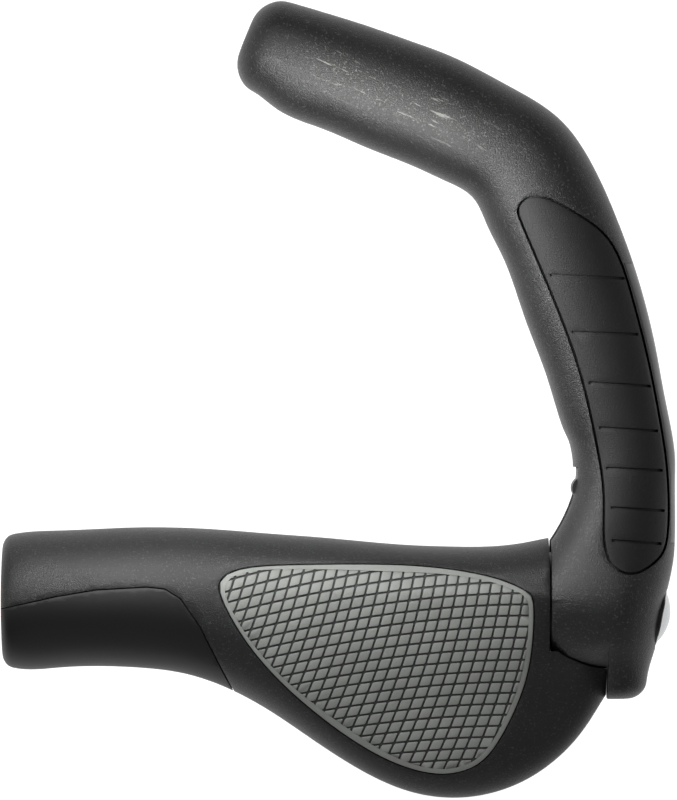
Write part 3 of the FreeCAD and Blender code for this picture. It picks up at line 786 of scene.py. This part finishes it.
def make_stage():
    """Pale floor, soft studio light and the camera straight above."""
    scene = bpy.context.scene
    scene.view_settings.view_transform = "Standard"
    form = bmesh.new()
    bmesh.ops.create_grid(form, x_segments=1, y_segments=1, size=3.0)
    height = CAD_BOX[0].z - lowest_swing()
    bmesh.ops.translate(form, verts=form.verts, vec=(0.08, 0.05, height))
    mesh = bpy.data.meshes.new("floor")
    form.to_mesh(mesh)
    form.free()
    mesh.materials.append(pale_floor())
    floor = bpy.data.objects.new("floor", mesh)
    scene.collection.objects.link(floor)

    world = bpy.data.worlds.new("studio")
    world.use_nodes = True
    background = world.node_tree.nodes["Background"]
    background.inputs["Color"].default_value = (1, 1, 1, 1)
    background.inputs["Strength"].default_value = 0.1
    scene.world = world

    for light in LIGHTS:
        area_light(*light)

    data = bpy.data.cameras.new("camera")
    data.lens = 300
    data.sensor_width = 36
    camera = bpy.data.objects.new("camera", data)
    camera.location = (*FRAME_CENTRE, FRAME_HEIGHT * data.lens / data.sensor_width)
    data.clip_start, data.clip_end = 0.05, 20.0
    scene.collection.objects.link(camera)
    scene.camera = camera


# ---------------------------------------------------------------- operators

class BARGRIP_OT_moulded(bpy.types.Operator):
    """Give the moulded parts their finishes and soften their edges"""

    bl_idname = "bargrip.moulded"
    bl_label = "Moulded Parts"

    def execute(self, context):
        colours = context.scene.grip_colours
        lip = context.scene.grip_fittings.mould_lip
        dress("grip_core", core_plastic(colours))
        dress("grip_skin", skin_rubber(colours))
        dress("inner_panel", panel_rubber(colours))
        dress("horn_body", horn_plastic(colours))
        cover = cover_plastic(colours)
        dress("side_cover", cover)
        dress("end_plug", cover)
        for node in ("grip_skin", "inner_panel", "horn_body", "side_cover", "end_plug"):
            soften(node, lip)
        return {"FINISHED"}


class BARGRIP_OT_metal(bpy.types.Operator):
    """Give the clamp, the nut and the washer their finishes"""

    bl_idname = "bargrip.metal"
    bl_label = "Clamp, Nut and Washer"

    def execute(self, context):
        colours = context.scene.grip_colours
        lip = context.scene.grip_fittings.machined_lip
        dress("clamp", blasted_alloy(colours))
        steel = zinc_plate(colours)
        dress("clamp_nut", steel)
        dress("bolt_washer", steel)
        for node in ("clamp", "clamp_nut", "bolt_washer"):
            soften(node, lip)
        return {"FINISHED"}


class BARGRIP_OT_palm_pad(bpy.types.Operator):
    """Build the tiled palm pad"""

    bl_idname = "bargrip.palm_pad"
    bl_label = "Palm Pad"

    def execute(self, context):
        make_palm_pad(context.scene.grip_palm_pad, context.scene.grip_colours)
        return {"FINISHED"}


class BARGRIP_OT_horn_pads(bpy.types.Operator):
    """Build the horn's upper and lower rubber pads"""

    bl_idname = "bargrip.horn_pads"
    bl_label = "Horn Pads"

    def execute(self, context):
        rubber = pad_rubber(context.scene.grip_colours)
        lip = context.scene.grip_fittings.pad_lip
        make_horn_pad("upper_pad", rubber, lip)
        make_horn_pad("lower_pad", rubber, lip)
        return {"FINISHED"}


class BARGRIP_OT_cap(bpy.types.Operator):
    """Build the silver cap at the outer end"""

    bl_idname = "bargrip.cap"
    bl_label = "End Cap"

    def execute(self, context):
        make_cap(context.scene.grip_colours)
        return {"FINISHED"}


class BARGRIP_OT_screw(bpy.types.Operator):
    """Build the clamp's socket screw"""

    bl_idname = "bargrip.screw"
    bl_label = "Clamp Screw"

    def execute(self, context):
        make_bolt(context.scene.grip_fittings, zinc_plate(context.scene.grip_colours))
        return {"FINISHED"}


class BARGRIP_OT_stage(bpy.types.Operator):
    """Set up the floor, the lights and the camera"""

    bl_idname = "bargrip.stage"
    bl_label = "Stage"

    def execute(self, context):
        make_stage()
        return {"FINISHED"}


OPERATORS = (
    BARGRIP_OT_moulded, BARGRIP_OT_metal, BARGRIP_OT_palm_pad, BARGRIP_OT_horn_pads,
    BARGRIP_OT_cap, BARGRIP_OT_screw, BARGRIP_OT_stage,
)


class BARGRIP_PT_panel(bpy.types.Panel):
    """Sizes, colours and steps of the bar end grip"""

    bl_idname = "BARGRIP_PT_panel"
    bl_label = "Bar End Grip"
    bl_space_type = "VIEW_3D"
    bl_region_type = "UI"
    bl_category = "Bar End Grip"

    def draw(self, context):
        layout = self.layout
        for group in GROUPS:
            settings = getattr(context.scene, group)
            box = layout.box()
            for name in settings.bl_rna.properties.keys():
                if name not in ("rna_type", "name"):
                    box.prop(settings, name)
        for operator in OPERATORS:
            layout.operator(operator.bl_idname)


GROUPS = {
    "grip_palm_pad": PalmPadSizes,
    "grip_fittings": FittingSizes,
    "grip_colours": GripColours,
}


def register():
    for kind in (*GROUPS.values(), *OPERATORS, BARGRIP_PT_panel):
        bpy.utils.register_class(kind)
    for name, kind in GROUPS.items():
        setattr(bpy.types.Scene, name, PointerProperty(type=kind))


def unregister():
    for name in GROUPS:
        delattr(bpy.types.Scene, name)
    for kind in (BARGRIP_PT_panel, *reversed(OPERATORS), *GROUPS.values()):
        bpy.utils.unregister_class(kind)


def main():
    """Build everything."""
    register()
    bpy.ops.bargrip.moulded()
    bpy.ops.bargrip.metal()
    bpy.ops.bargrip.palm_pad()
    bpy.ops.bargrip.horn_pads()
    bpy.ops.bargrip.cap()
    bpy.ops.bargrip.screw()
    bpy.ops.bargrip.stage()
    bpy.context.view_layer.update()


if __name__ == "__main__":
    main()
